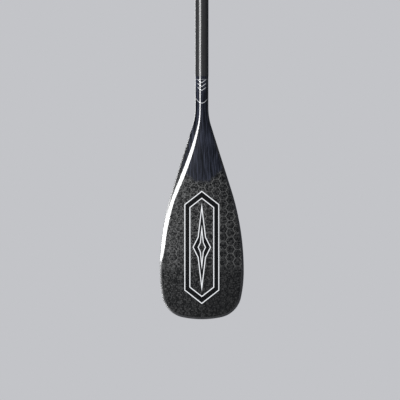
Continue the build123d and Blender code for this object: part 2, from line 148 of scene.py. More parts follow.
class Graph:
    """A material's node tree round one Principled shader."""

    def __init__(self, name: str) -> None:
        """Makes the material, with only its shader and its output.

        Args:
            name: the material's name.
        """
        self.material = bpy.data.materials.new(name)
        self.material.use_nodes = True
        self.tree = self.material.node_tree
        self.shader = self.tree.nodes["Principled BSDF"]
        self._place: Optional[bpy.types.Node] = None

    def node(self, kind: str, **settings: object) -> bpy.types.Node:
        """Adds a node.

        Args:
            kind: the node's type.
            settings: its properties.

        Returns:
            The node.
        """
        node = self.tree.nodes.new(kind)
        for name, value in settings.items():
            setattr(node, name, value)
        return node

    def feed(self, socket: bpy.types.NodeSocket, value: object) -> None:
        """Links a field to a socket, or sets a plain value on it.

        Args:
            socket: the input.
            value: a field or a plain value.
        """
        if isinstance(value, Field):
            self.tree.links.new(value.socket, socket)
        else:
            socket.default_value = value

    def place(self) -> tuple[Field, Field, Field]:
        """The point's place.

        Returns:
            Its three object coordinates, in metres.
        """
        if self._place is None:
            coords = self.node("ShaderNodeTexCoord")
            self._place = self.node("ShaderNodeSeparateXYZ")
            self.tree.links.new(coords.outputs["Object"], self._place.inputs[0])
        return tuple(Field(self, out) for out in self._place.outputs)

    def joined(self, x: Number, y: Number, z: Number) -> Field:
        """Three values as one vector.

        Args:
            x: first value.
            y: second value.
            z: third value.

        Returns:
            The vector.
        """
        node = self.node("ShaderNodeCombineXYZ")
        for slot, value in zip(node.inputs, (x, y, z)):
            self.feed(slot, value)
        return Field(self, node.outputs[0])

    def noise(self, spread: Spread, detail: float = 2.0, seed: float = 0.0) -> Field:
        """Seeded noise between 0 and 1.

        Args:
            spread: how many grains lie in one metre along each axis.
            detail: how many finer layers are added.
            seed: moves the noise, so that two finishes differ.

        Returns:
            The noise.
        """
        x, y, z = self.place()
        where = self.joined(x * spread[0] + seed, y * spread[1] + seed, z * spread[2] + seed)
        node = self.node("ShaderNodeTexNoise")
        self.feed(node.inputs["Vector"], where)
        node.inputs["Scale"].default_value = 1.0
        node.inputs["Detail"].default_value = detail
        return Field(self, node.outputs["Fac"])

    def mix(self, share: Field, first: Union[Colour, Field], second: Union[Colour, Field]) -> Field:
        """Mixes two colours.

        Args:
            share: 0 for the first colour and 1 for the second.
            first: a colour or a colour field.
            second: a colour or a colour field.

        Returns:
            The mixed colour.
        """
        node = self.node("ShaderNodeMix", data_type="RGBA")
        self.feed(node.inputs[0], share)
        for slot, colour in ((node.inputs[6], first), (node.inputs[7], second)):
            self.feed(slot, colour if isinstance(colour, Field) else (*colour, 1.0))
        return Field(self, node.outputs[2])

    def dress(self, **values: object) -> None:
        """Sets the shader's inputs.

        Args:
            values: the inputs' values by name, with _ for a space.
        """
        for name, value in values.items():
            socket = self.shader.inputs[name.replace("_", " ")]
            if isinstance(value, tuple) and len(value) == 3:
                value = (*value, 1.0)
            self.feed(socket, value)

    def bump(self, height: Field, depth: float, strength: float = 1.0) -> None:
        """Raises the shaded surface.

        Args:
            height: the height field.
            depth: how many metres a height of 1 stands for.
            strength: how much of the effect is used.
        """
        node = self.node("ShaderNodeBump")
        node.inputs["Strength"].default_value = strength
        node.inputs["Distance"].default_value = depth
        self.feed(node.inputs["Height"], height)
        self.tree.links.new(node.outputs[0], self.shader.inputs["Normal"])


# ================================================================ finishes
@dataclass(frozen=True)
class BladeLacquer:
    """Spread carbon cells under clear lacquer, with the printed marks.

    Straight fibres run down the throat. A pair named fade or end is where a smooth step begins and ends.
    """

    name: str = "blade_lacquer"
    printed: bool = True
    cell_side: float = 10.4 * MM
    raised_line: float = 0.75 * MM
    sunk_line: float = 2.1 * MM
    sunk_fade: Pair = (-396 * MM, -430 * MM)
    level_strength: float = 0.45
    tow: float = 4.8 * MM
    level_grain: Spread = (120, 200, 520)
    upright_grain: Spread = (520, 200, 120)
    fibre_grain: Spread = (620, 60, 26)
    cloud_grain: Spread = (30, 30, 22)
    cells_start: float = -229.0 * MM
    cells_rise: float = 0.9
    throat_half: float = 15.0 * MM
    throat_fade: Pair = (-6 * MM, 5 * MM)
    # Painted shade: tip_shade and side_shade darken the cells towards the tip and towards the right, so the
    # left side keeps a painted sheen of the soft light's reflection.
    tip_fade: Pair = (-340 * MM, -530 * MM)
    tip_shade: float = 0.42
    side_fade: Pair = (-40 * MM, 60 * MM)
    side_shade: float = 0.5
    cell_colour: Colour = (0.062, 0.0625, 0.062)
    cell_dark: Colour = (0.0008, 0.0008, 0.0009)
    line_colour: Colour = (0.115, 0.116, 0.114)
    throat_colour: Colour = (0.020, 0.0225, 0.034)
    throat_dark: Colour = (0.0012, 0.0016, 0.0034)
    ink: Colour = (0.54, 0.55, 0.56)
    panel: Colour = (0.002, 0.002, 0.0021)
    panel_rough: float = 0.25
    relief: float = 0.16 * MM
    emblem_z: float = -373.5 * MM
    emblem_slope: float = radians(52)
    emblem_stroke: float = 1.9 * MM
    heart_stroke: float = 1.8 * MM
    panel_soft: float = 0.2 * MM
    outer_frame: Pair = (37 * MM, 122 * MM)
    inner_frame: Pair = (26 * MM, 107 * MM)
    star_body: tuple[Pair, Pair] = ((19 * MM, 88 * MM), (8.0 * MM, 22 * MM))
    star_heart: tuple[Pair, Pair] = ((8 * MM, 40 * MM), (3.2 * MM, 10 * MM))
    ring_z: float = -6.6 * MM
    ring_stroke: float = 0.9 * MM
    ring_ink: float = 0.3
    chevrons: tuple[float, ...] = (-14.0 * MM, -22.5 * MM, -31.0 * MM)
    chevron_slope: float = 0.75
    chevron_stroke: float = 1.7 * MM
    chevron_end: Pair = (9.2 * MM, 8.8 * MM)
    bow_z: float = -58.5 * MM
    bow_bend: float = 62.0
    bow_stroke: float = 1.5 * MM
    bow_end: Pair = (13.2 * MM, 12.6 * MM)
    mark_ink: float = 0.6

    def lattice(self, x: Field, z: Field, shift: float) -> tuple[Field, Field]:
        """One of the two lattices of cells that make the honeycomb together.

        Args:
            x: place across the blade.
            z: place along it.
            shift: 0 for the first lattice and 1 for the second.

        Returns:
            Distances from the nearest cell's middle, square to its level sides and to its slanted ones.
        """
        flat, stride = self.cell_side * sin(pi / 3), 1.5 * self.cell_side
        across = abs((x + shift * stride).wrapped(stride))
        along = abs((z + shift * flat).wrapped(flat))
        return along, along * 0.5 + across * sin(pi / 3)

    def cell_lines(self, x: Field, z: Field, width: float) -> Field:
        """Lines between six-sided cells; the slanted ones are stronger than the level ones.

        Args:
            x: place across the blade.
            z: place along it.
            width: the lines' width.

        Returns:
            1 on a line and 0 in a cell.
        """
        flat = self.cell_side * sin(pi / 3)
        level_one, slant_one = self.lattice(x, z, 0.0)
        level_two, slant_two = self.lattice(x, z, 1.0)
        nearest = level_one.greatest(slant_one).least(level_two.greatest(slant_two))
        slant = slant_one.least(slant_two)
        strength = (slant - flat).ramp(-1.6 * MM, -0.6 * MM, self.level_strength, 1.0)
        return (nearest - flat).line(width, 0.3 * MM) * strength

    def hexagon(self, ax: Field, az: Field, size: Pair) -> Field:
        """A long six-sided shape with upright sides.

        Args:
            ax: distance from its upright axis.
            az: distance from its level axis.
            size: its half width and half height.

        Returns:
            Distance outside it, less than zero inside.
        """
        slope = self.emblem_slope
        slant = ax * cos(slope) + az * sin(slope) - size[1] * sin(slope)
        return (ax - size[0]).greatest(slant)

    def star(self, ax: Field, az: Field, size: Pair, waist: Pair) -> Field:
        """A four-pointed star.

        Args:
            ax: distance from its upright axis.
            az: distance from its level axis.
            size: its half width and half height.
            waist: the inner corner between two points.

        Returns:
            Distance outside it, less than zero inside.
        """
        sides = []
        for start, end in (((0.0, size[1]), waist), (waist, (size[0], 0.0))):
            dx, dz = end[0] - start[0], end[1] - start[1]
            length = hypot(dx, dz)
            offset = (start[1] * dx - start[0] * dz) / length
            sides.append(ax * (-dz / length) + az * (dx / length) - offset)
        return sides[0].least(sides[1])

    def emblem(self, x: Field, z: Field) -> tuple[Field, Field]:
        """A long six-sided frame round a four-pointed star.

        Args:
            x: place across the blade.
            z: place along it.

        Returns:
            The printed lines and the black panels.
        """
        ax, az = abs(x), abs(z - self.emblem_z)
        outer, inner = self.hexagon(ax, az, self.outer_frame), self.hexagon(ax, az, self.inner_frame)
        body, heart = self.star(ax, az, *self.star_body), self.star(ax, az, *self.star_heart)
        lines = heart.line(self.heart_stroke)
        for shape in (outer, inner, body):
            lines = lines.greatest(shape.line(self.emblem_stroke))
        soft = self.panel_soft
        band = outer.ramp(soft, -soft) * inner.ramp(-soft, soft)
        fill = body.ramp(soft, -soft) * heart.ramp(-soft, soft)
        return lines, band.greatest(fill)

    def neck_marks(self, x: Field, z: Field) -> Field:
        """A thin ring, three chevrons and a bowed line on the neck.

        Args:
            x: place across the neck.
            z: place along it.

        Returns:
            How much ink lies there.
        """
        ax = abs(x)
        marks = (z - self.ring_z).line(self.ring_stroke) * self.ring_ink
        for level in self.chevrons:
            chevron = (z - ax * self.chevron_slope - level).line(self.chevron_stroke)
            marks = marks.greatest(chevron * ax.ramp(*self.chevron_end) * self.mark_ink)
        bow = (z - x * x * self.bow_bend - self.bow_z).line(self.bow_stroke)
        return marks.greatest(bow * ax.ramp(*self.bow_end) * self.mark_ink)

    def build(self) -> bpy.types.Material:
        """Makes the material.

        Returns:
            The material.
        """
        g = Graph(self.name)
        x, _, z = g.place()
        boundary = z - (abs(x) - self.throat_half).greatest(0.0) * self.cells_rise - self.cells_start
        throat, sunk = boundary.ramp(*self.throat_fade), z.ramp(*self.sunk_fade)
        raised = self.cell_lines(x, z, self.raised_line) * sunk.rest()
        line = (raised * 0.85 + self.cell_lines(x, z, self.sunk_line) * sunk) * throat.rest()
        x_wave, z_wave = x.wave(2 * self.tow), z.wave(2 * self.tow)
        over = (x_wave * z_wave).ramp(-0.12, 0.12)
        level = g.noise(self.level_grain, detail=1.0)
        upright = g.noise(self.upright_grain, detail=1.0, seed=3.0)
        streaks = g.noise(self.fibre_grain, detail=1.5, seed=5.0)
        cloud = g.noise(self.cloud_grain, detail=2.0, seed=7.0)
        tow = over * level + over.rest() * upright
        # Painted shade and reflection: the cells keep full brightness on the left, as if lit by the light's
        # reflection, and are darkened towards the right and towards the tip.
        painted_shade = z.ramp(*self.tip_fade, 1.0, self.tip_shade) * x.ramp(*self.side_fade, 1.0, self.side_shade)
        cloth = tow.ramp(0.47, 0.57) * (over * 0.4 + 0.6) * painted_shade
        seam = g.mix(sunk, self.line_colour, self.cell_dark)
        laid = g.mix(line, g.mix(cloth, self.cell_dark, self.cell_colour), seam)
        fibre = g.mix(streaks.ramp(0.40, 0.66), self.throat_dark, self.throat_colour)
        base = g.mix(throat, laid, fibre)
        crossed = x_wave * over + z_wave * over.rest()
        rough = line * 0.2 + tow * 0.3 + cloud * 0.1 + 0.3
        laid_height = (abs(crossed) * 0.6 + tow * 0.7) * throat.rest()
        height = laid_height + streaks * throat * 0.9 - line * 0.5
        if self.printed:
            lines, panels = self.emblem(x, z)
            panel_side = panels * lines.rest()
            base = g.mix(panel_side, base, self.panel)
            ink = lines.greatest(self.neck_marks(x, z))
            base = g.mix(ink, base, self.ink)
            rough = rough + (panel_side * -1.0) * (rough - self.panel_rough)
        g.dress(Base_Color=base, Roughness=rough, Specular_IOR_Level=0.06)
        g.dress(Coat_Weight=1.0, Coat_Roughness=0.025, Coat_IOR=1.5)
        g.bump(height, self.relief, 0.8)
        return g.material


@dataclass(frozen=True)
class TubeCarbon:
    """Wound carbon tube: crossed tows at a slant under a satin surface, with or without a printed scale."""

    name: str
    dark: Colour = (0.010, 0.010, 0.0105)
    light: Colour = (0.030, 0.030, 0.031)
    roughness: float = 0.25
    pitch: float = 5.0 * MM
    slant: float = 0.7
    arm: float = 15.0 * MM
    scale: Optional[Pair] = None
    scale_ink: Colour = (0.62, 0.63, 0.64)
    tick_x: float = -3.6 * MM
    ticks: tuple[Spread, ...] = ((5 * MM, 0.5 * MM, 2.0 * MM), (25 * MM, 0.8 * MM, 3.2 * MM))

    def scale_marks(self, x: Field, y: Field, z: Field) -> Field:
        """Short and long ticks on the tube's front, each row with its step, stroke and half length.

        Args:
            x: place across the tube.
            y: place from front to back.
            z: place along it.

        Returns:
            1 on a tick and 0 beside it.
        """
        low, high = self.scale
        inside = z.ramp(low - 1.0 * MM, low - 0.9 * MM) * z.ramp(high + 0.1 * MM, high) * y.ramp(0.0, -1 * MM)
        level, across = z - low, abs(x - self.tick_x)
        short, long = (level.wrapped(step).line(stroke, 0.06 * MM) * across.ramp(half + 0.1 * MM, half)
                       for step, stroke, half in self.ticks)
        return short.greatest(long) * inside

    def build(self) -> bpy.types.Material:
        """Makes the material.

        Returns:
            The material.
        """
        g = Graph(self.name)
        x, y, z = g.place()
        turn = y.math("ARCTAN2", x) * self.arm * self.slant
        weave = ((z + turn).wave(self.pitch) * (z - turn).wave(self.pitch)).ramp(-0.5, 0.5)
        grain = g.noise((900, 900, 60), detail=3.0, seed=11.0)
        cloud = g.noise((60, 60, 14), detail=2.0, seed=5.0)
        base = g.mix(weave * 0.45 + grain * 0.5, self.dark, self.light)
        rough = weave * 0.05 + grain * 0.12 + cloud * 0.08 + (self.roughness - 0.12)
        if self.scale:
            base = g.mix(self.scale_marks(x, y, z), base, self.scale_ink)
        g.dress(Base_Color=base, Roughness=rough, Specular_IOR_Level=0.5)
        g.bump(weave * 0.5 + grain * 0.5, 0.06 * MM, 0.35)
        return g.material


@dataclass(frozen=True)
class Moulded:
    """Moulded or pressed plastic, rubber or foam, with a fine grain and slight wear."""

    name: str
    colour: Colour
    roughness: float = 0.45
    grain: float = 1400.0
    depth: float = 0.05 * MM
    spread: float = 0.12
    coat: float = 0.0
    shades: Pair = (0.72, 1.3)

    def build(self) -> bpy.types.Material:
        """Makes the material.

        Returns:
            The material.
        """
        g = Graph(self.name)
        fine = g.noise((self.grain,) * 3, detail=2.0, seed=2.0)
        slow = g.noise((45, 45, 45), detail=3.0, seed=9.0)
        darker, lighter = (tuple(min(1.0, shade * c) for c in self.colour) for shade in self.shades)
        base = g.mix(slow * 0.6 + fine * 0.4, darker, lighter)
        rough = slow * self.spread + fine * 0.08 + (self.roughness - 0.5 * self.spread - 0.04)
        g.dress(Base_Color=base, Roughness=rough)
        if self.coat:
            g.dress(Coat_Weight=self.coat, Coat_Roughness=0.03)
        g.bump(fine, self.depth, 0.5)
        return g.material


class Turned(Enum):
    """Grains a metre along each axis: how a metal part's fine machining marks run."""

    ALONG_BOLT = (1600.0, 60.0, 1600.0)
    ROUND = (900.0, 900.0, 900.0)


@dataclass(frozen=True)
class Metal:
    """Machined metal, bare or anodised, with fine tool marks."""

    name: str
    colour: Colour
    roughness: float = 0.28
    marks: Turned = Turned.ROUND
    shades: Pair = (0.8, 1.12)

    def build(self) -> bpy.types.Material:
        """Makes the material.

        Returns:
            The material.
        """
        g = Graph(self.name)
        fine = g.noise(self.marks.value, detail=2.0, seed=4.0)
        slow = g.noise((70, 70, 70), detail=3.0, seed=8.0)
        base = g.mix(slow, *(tuple(min(1.0, shade * c) for c in self.colour) for shade in self.shades))
        g.dress(Base_Color=base, Roughness=fine * 0.14 + slow * 0.1 + (self.roughness - 0.12), Metallic=1.0)
        g.bump(fine, 0.02 * MM, 0.5)
        return g.material


# ================================================================ making meshes
def clear_selection() -> None:
    """Leaves edit mode and deselects everything."""
    if bpy.context.object and bpy.context.object.mode != "OBJECT":
        bpy.ops.object.mode_set(mode="OBJECT")
    bpy.ops.object.select_all(action="DESELECT")


def activate(piece: bpy.types.Object) -> None:
    """Makes a piece the only selected one, and the active one.

    Args:
        piece: the piece.
    """
    clear_selection()
    piece.select_set(True)
    bpy.context.view_layer.objects.active = piece


def settle(piece: bpy.types.Object, name: str, angle: float = radians(30)) -> bpy.types.Object:
    """Names a finished piece, puts its place into its mesh and shades it.

    Args:
        piece: the piece.
        name: its name.
        angle: edges sharper than this stay sharp.

    Returns:
        The piece.
    """
    activate(piece)
    bpy.ops.object.transform_apply(location=True, rotation=True, scale=True)
    bpy.ops.object.shade_smooth_by_angle(angle=angle, keep_sharp_edges=False)
    piece.name = name
    piece.data.name = name
    piece.select_set(False)
    return piece


def apply_modifier(piece: bpy.types.Object, kind: str, **settings: object) -> None:
    """Adds a modifier to a piece and applies it.

    Args:
        piece: the piece.
        kind: the modifier's type.
        settings: its properties.
    """
    activate(piece)
    modifier = piece.modifiers.new(kind.lower(), kind)
    for name, value in settings.items():
        setattr(modifier, name, value)
    bpy.ops.object.modifier_apply(modifier=modifier.name)


def bevel(piece: bpy.types.Object, width: float, angle: float) -> None:
    """Rounds every edge of a piece that is sharper than an angle."""
    apply_modifier(piece, "BEVEL", width=width, segments=2, limit_method="ANGLE", angle_limit=angle)


def join_shape(piece: bpy.types.Object, other: bpy.types.Object, way: str) -> None:
    """Adds another shape to a piece or cuts it away, and deletes the other shape."""
    apply_modifier(piece, "BOOLEAN", operation=way, object=other, solver="EXACT")
    bpy.data.objects.remove(other, do_unlink=True)


def cylinder(radius: float, depth: float, centre: Point, sides: int = 64,
             turn: Point = (0.0, 0.0, 0.0)) -> bpy.types.Object:
    """A cylinder at its size and place, with its turn applied.

    Args:
        radius: its radius.
        depth: its length.
        centre: its middle.
        sides: how many sides it has.
        turn: its rotation from upright.

    Returns:
        The object.
    """
    clear_selection()
    bpy.ops.mesh.primitive_cylinder_add(
        vertices=sides, radius=radius, depth=depth, location=centre, rotation=turn)
    piece = bpy.context.object
    bpy.ops.object.transform_apply(location=True, rotation=True, scale=True)
    return piece


def block(size: Point, centre: Point) -> bpy.types.Object:
    """A box at its size and place.

    Args:
        size: its three sizes.
        centre: its middle.

    Returns:
        The object.
    """
    clear_selection()
    bpy.ops.mesh.primitive_cube_add(size=1.0, location=centre, scale=size)
    piece = bpy.context.object
    bpy.ops.object.transform_apply(location=True, rotation=True, scale=True)
    return piece


def tidy_mesh(piece: bpy.types.Object, distance: float = 1e-6) -> None:
    """Merges doubles and turns every face outwards.

    Args:
        piece: the piece.
        distance: how near two points count as one.
    """
    activate(piece)
    bpy.ops.object.mode_set(mode="EDIT")
    bpy.ops.mesh.select_all(action="SELECT")
    bpy.ops.mesh.remove_doubles(threshold=distance)
    bpy.ops.mesh.normals_make_consistent(inside=False)
    bpy.ops.object.mode_set(mode="OBJECT")


def pick_faces(piece: bpy.types.Object, wanted: Callable[[bpy.types.MeshPolygon], bool]) -> None:
    """Selects the faces of a piece that a test wants, and nothing else.

    Args:
        piece: the piece, in object mode.
        wanted: the test.
    """
    mesh = piece.data
    for group in (mesh.vertices, mesh.edges):
        for item in group:
            item.select = False
    for face in mesh.polygons:
        face.select = wanted(face)


def finish_piece(piece: bpy.types.Object, body: str, material: bpy.types.Material,
                 nodes: Iterable[str] = ()) -> None:
    """Dresses a piece, puts it on its body and reports it.

    Args:
        piece: the finished piece.
        body: the CAD body it moves with.
        material: its finish.
        nodes: the CAD nodes it stands for.
    """
    piece.data.materials.clear()
    piece.data.materials.append(material)
    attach(piece, body)
    names = tuple(nodes)
    if names:
        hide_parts(*names)
    low = [min(v.co[i] for v in piece.data.vertices) for i in range(3)]
    high = [max(v.co[i] for v in piece.data.vertices) for i in range(3)]
    size = " x ".join(f"{(b - a) * 1000:.1f}" for a, b in zip(low, high))
    log.info("%s: %s mm, %d faces, rides %s", piece.name, size, len(piece.data.polygons), body)


# ================================================================ blade
@dataclass(frozen=True)
class Arc:
    """One arc of the blade's outline: centre, radius and the outward normal's angles at its ends."""

    x: float
    z: float
    radius: float
    start: float
    end: float

    def at(self, angle: float, inset: float = 0.0) -> Pair:
        """Point of the arc where the outward normal has an angle, taken in by inset."""
        reach = self.radius - inset
        return self.x + reach * cos(angle), self.z + reach * sin(angle)

    @property
    def length(self) -> float:
        """Length along the arc."""
        return abs(self.radius * (self.end - self.start))


@dataclass
class Blade:
    """Raked blade: two lacquered skins that meet along the neck, and a rail round the rim below it.

    The crowns, the spine and the rim's thickness are pairs of a share of the depth and millimetres.
    """

    depth: float = 530.0 * MM
    width: float = 183.0 * MM
    neck_radius: float = 14.5 * MM
    neck_straight: float = 68.0 * MM
    sweep_radius: float = 140.0 * MM
    flank: float = radians(17.5)
    side_turn: float = radians(12.0)
    corner_end: float = radians(78.0)
    rake_angle: float = radians(10.0)
    spine_width: float = 21.0 * MM
    skin: float = 1.0 * MM
    rail_width: float = 4.6 * MM
    rail_rounding: float = 1.4 * MM
    rail_run_in: float = 34.0 * MM
    rows: int = 190
    columns: int = 96
    front_crown: tuple = (
        (0, 14.5), (0.2, 14.5), (0.28, 14.3), (0.41, 12.3), (0.54, 10.0), (0.69, 9.9), (0.735, 9.2),
        (0.79, 6.0), (0.9, 4.2), (1.03, 2.6))
    back_crown: tuple = (
        (0, 14.5), (0.16, 14.5), (0.28, 9.5), (0.43, 4.8), (0.62, 3.2), (0.8, 2.8), (1.03, 1.8))
    spine_height: tuple = ((0, 0), (0.16, 0), (0.31, 4.2), (0.43, 5.0), (0.62, 2.6), (0.85, 0), (1.03, 0))
    rim_thickness: tuple = ((0, 0), (0.128, 0), (0.223, 3.2), (0.8, 3.2), (1.03, 2.4))
    corner_split: float = 0.45
    rail_steps: int = 150
    rail_points: int = 5
    arcs: list[Arc] = field(init=False)

    def __post_init__(self) -> None:
        """Works out the outline's arcs from the sizes."""
        self.widest = 0.8 * self.depth
        self.rake_start, self.rake_end = 0.185 * self.depth, 0.377 * self.depth
        self.rail_start = 0.223 * self.depth
        neck_x = self.neck_radius + self.sweep_radius
        neck = Arc(neck_x, -self.neck_straight, -self.sweep_radius, 0.0, self.flank)
        sweep_x, sweep_z = neck.at(self.flank)
        half = self.width / 2
        rise = tan(self.flank) * (self.widest + sweep_z) - (half - sweep_x)
        shoulder_radius = rise / (1 / cos(self.flank) - 1)
        shoulder = Arc(half - shoulder_radius, -self.widest, shoulder_radius, self.flank, 0.0)
        side_radius = 0.53 * self.depth
        side = Arc(half - side_radius, -self.widest, side_radius, 0.0, -self.side_turn)
        side_x, side_z = side.at(-self.side_turn)
        a, b, down = self.side_turn, self.corner_end, self.depth + side_z
        m, n, p = sin(b) - sin(a), 1 - sin(b), down
        q, r, s = cos(a) - cos(b), cos(b), side_x
        corner_radius = (p * r - n * s) / (m * r - n * q)
        bottom_radius = (m * s - p * q) / (m * r - n * q)
        corner_x, corner_z = side_x - corner_radius * cos(a), side_z + corner_radius * sin(a)
        corner = Arc(corner_x, corner_z, corner_radius, -a, -b)
        bottom = Arc(0.0, -self.depth + bottom_radius, bottom_radius, -b, -pi / 2)
        self.arcs = [neck, shoulder, side, corner, bottom]

    @property
    def flank_line(self) -> tuple[Pair, Pair, float]:
        """The outline's straight stretch: its upper end, its lower end and its length."""
        start, end = self.arcs[0].at(self.flank), self.arcs[1].at(self.flank)
        return start, end, hypot(end[0] - start[0], end[1] - start[1])

    def eased(self, pairs: tuple, depth: float) -> float:
        """Value of a smooth curve that never overshoots its points.

        Args:
            pairs: the points, each a share of the blade's depth and millimetres.
            depth: where the value is read.

        Returns:
            The value, in metres.
        """
        share = min(max(depth / self.depth, pairs[0][0]), pairs[-1][0])
        spans = [(b[1] - a[1]) / (b[0] - a[0]) for a, b in zip(pairs, pairs[1:])]
        joins = [2 * a * b / (a + b) if a * b > 0 else 0.0 for a, b in zip(spans, spans[1:])]
        slopes = [0.0, *joins, spans[-1]]
        i = next(i for i in range(len(spans)) if share <= pairs[i + 1][0])
        (start, low), (end, high) = pairs[i], pairs[i + 1]
        t = (share - start) / (end - start)
        lean = slopes[i] * t * (1 - t) ** 2 - slopes[i + 1] * t * t * (1 - t)
        return (low + (high - low) * t * t * (3 - 2 * t) + (end - start) * lean) * MM

    def half_width(self, depth: float) -> float:
        """Half of the outline's width, kept at its greatest below the widest point.

        Args:
            depth: where it is read.

        Returns:
            Half the width.
        """
        z = -min(depth, self.widest)
        neck, shoulder = self.arcs[:2]
        sweep_x, sweep_z = neck.at(neck.end)
        if z > neck.z:
            return self.neck_radius
        if z > sweep_z:
            return neck.x - sqrt(neck.radius**2 - (z - neck.z) ** 2)
        if z > shoulder.at(shoulder.start)[1]:
            return sweep_x + (sweep_z - z) * tan(self.flank)
        return shoulder.x + sqrt(shoulder.radius**2 - (z - shoulder.z) ** 2)

    def rake(self, depth: float) -> float:
        """How far the parting surface lies in front of the shaft's axis.

        Args:
            depth: where it is read.

        Returns:
            The distance.
        """
        if depth <= self.rake_start:
            return 0.0
        if depth <= self.rake_end:
            bend = 2 * (self.rake_end - self.rake_start)
            return tan(self.rake_angle) * (depth - self.rake_start) ** 2 / bend
        return tan(self.rake_angle) * (depth - (self.rake_start + self.rake_end) / 2)

    def reach(self, depth: float) -> float:
        """Half width of the full oval section, before the rim cuts it off.

        Args:
            depth: where it is read.

        Returns:
            Half the width.
        """
        front, back = self.eased(self.front_crown, depth), self.eased(self.back_crown, depth)
        rim = self.eased(self.rim_thickness, depth)
        return self.half_width(depth) / sqrt(1 - (rim / (front + back)) ** 2)

    def face_y(self, side: int, x: float, z: float) -> float:
        """Y of the blade's surface.

        Args:
            side: -1 for the front and 1 for the back.
            x: place across the blade.
            z: height.

        Returns:
            Y at that place.
        """
        depth = -z
        round_share = sqrt(max(0.0, 1 - (x / self.reach(depth)) ** 2))
        if side < 0:
            return -self.rake(depth) - self.eased(self.front_crown, depth) * round_share
        ridge = self.eased(self.spine_height, depth) * exp(-((x / self.spine_width) ** 2))
        return -self.rake(depth) + (self.eased(self.back_crown, depth) + ridge) * round_share

    def inset(self, depth: float) -> float:
        """Width of the rail at a depth, which runs in from nothing at its upper end."""
        share = min(max((depth - self.rail_start) / self.rail_run_in, 0.0), 1.0)
        return self.rail_width * share * share * (3 - 2 * share)

    def edge(self, share: float, inset: Optional[float] = None) -> tuple[float, float, float, float]:
        """Point of the right-hand rim.

        Args:
            share: 0 at the top of the neck and 1 at the middle of the tip, by length.
            inset: how far the rim is taken in, or None for the rail's own width there.

        Returns:
            x, z and the outward normal there.
        """
        line_start, line_end, line_length = self.flank_line
        spans = [self.neck_straight, self.arcs[0].length, line_length]
        spans += [arc.length for arc in self.arcs[1:]]
        left = share * sum(spans)
        for i, span in enumerate(spans):
            if left <= span or i == len(spans) - 1:
                break
            left -= span
        t = min(left / span, 1.0)
        if i == 0:
            x, z, angle = self.neck_radius, -t * span, 0.0
        elif i == 2:
            x = line_start[0] + (line_end[0] - line_start[0]) * t
            z = line_start[1] + (line_end[1] - line_start[1]) * t
            angle = self.flank
        else:
            arc = self.arcs[0 if i == 1 else i - 2]
            angle = arc.start + (arc.end - arc.start) * t
            x, z = arc.at(angle)
        taken = self.inset(-z) if inset is None else inset
        return x - taken * cos(angle), z - taken * sin(angle), cos(angle), sin(angle)

    def share_at(self, depth: float) -> float:
        """Share along the rim where it first reaches a depth.

        Args:
            depth: the depth.

        Returns:
            The share.
        """
        low, high = 0.0, 1.0
        for _ in range(40):
            middle = (low + high) / 2
            low, high = (middle, high) if -self.edge(middle, 0.0)[1] < depth else (low, middle)
        return low

    def skin_edge(self, share: float) -> Pair:
        """Where a skin ends: at the parting line of the neck, or along the rail.

        Args:
            share: place along the rim.

        Returns:
            x and z of the skin's edge.
        """
        x, z, *_ = self.edge(share)
        if -z < self.rail_start + self.rail_run_in:
            x = min(self.reach(-z), max(x, self.reach(-z) - self.inset(-z) * 1.1))
        return x, z

    def sheet(self, side: int, name: str) -> bpy.types.Object:
        """One skin, from a grid laid on the blade's surface and given its wall.

        Args:
            side: -1 for the front and 1 for the back.
            name: the piece's name.

        Returns:
            The skin.
        """
        rows, columns = self.rows, self.columns
        clear_selection()
        bpy.ops.mesh.primitive_grid_add(x_subdivisions=columns, y_subdivisions=rows, size=2.0)
        piece = bpy.context.object
        corner = self.corner_share()
        half_columns = columns // 2
        tip = [self.skin_edge(corner + (1 - corner) * (i / half_columns)) for i in range(half_columns + 1)]
        top_half = self.skin_edge(0.0)[0]
        end_x, end_z = self.skin_edge(corner)
        for vertex in piece.data.vertices:
            u, v = vertex.co.x, (1 - vertex.co.y) / 2
            across = sin(u * pi / 2)
            side_x, side_z = self.skin_edge(corner * v)
            tip_x, tip_z = self.tip_point(abs(across), tip)
            x = (1 - v) * top_half * abs(across) + v * tip_x + abs(across) * side_x
            x -= abs(across) * ((1 - v) * top_half + v * end_x)
            z = v * tip_z + side_z - v * end_z
            x = min(x, self.reach(-z)) if abs(u) < 1 else x
            x = x if u > 0 else -x
            vertex.co = (x, self.face_y(side, x, min(z, 0.0)), z)
        tidy_mesh(piece, 1e-7)
        self.face_out(piece, side)
        apply_modifier(piece, "SOLIDIFY", thickness=self.skin * 0.95, offset=-1.0, use_even_offset=False)
        return settle(piece, name, radians(50))

    def corner_share(self) -> float:
        """Share along the rim where the skins' side gives way to the tip, near the middle of the corner.

        Returns:
            The share.
        """
        after = self.arcs[4].length + self.arcs[3].length * self.corner_split
        whole = self.neck_straight + self.flank_line[2]
        whole += sum(arc.length for arc in self.arcs)
        return 1 - after / whole

    def tip_point(self, across: float, tip: Sequence[Pair]) -> Pair:
        """Point of the tip's edge, read between its points.

        Args:
            across: share of the tip's half width.
            tip: the edge's points, from the corner to the middle.

        Returns:
            x and z.
        """
        wanted = across * tip[0][0]
        for (x1, z1), (x0, z0) in zip(tip, tip[1:]):
            if x0 <= wanted <= x1 + 1e-9:
                t = (wanted - x0) / (x1 - x0) if x1 > x0 else 0.0
                return wanted, z0 + (z1 - z0) * t
        return wanted, tip[0][1]

    def face_out(self, piece: bpy.types.Object, side: int) -> None:
        """Turns a skin's faces to its outer side.

        Args:
            piece: the skin.
            side: -1 for the front and 1 for the back.
        """
        mesh = piece.data
        centre = max(mesh.polygons, key=lambda face: face.area)
        if centre.normal.y * side < 0:
            mesh.flip_normals()

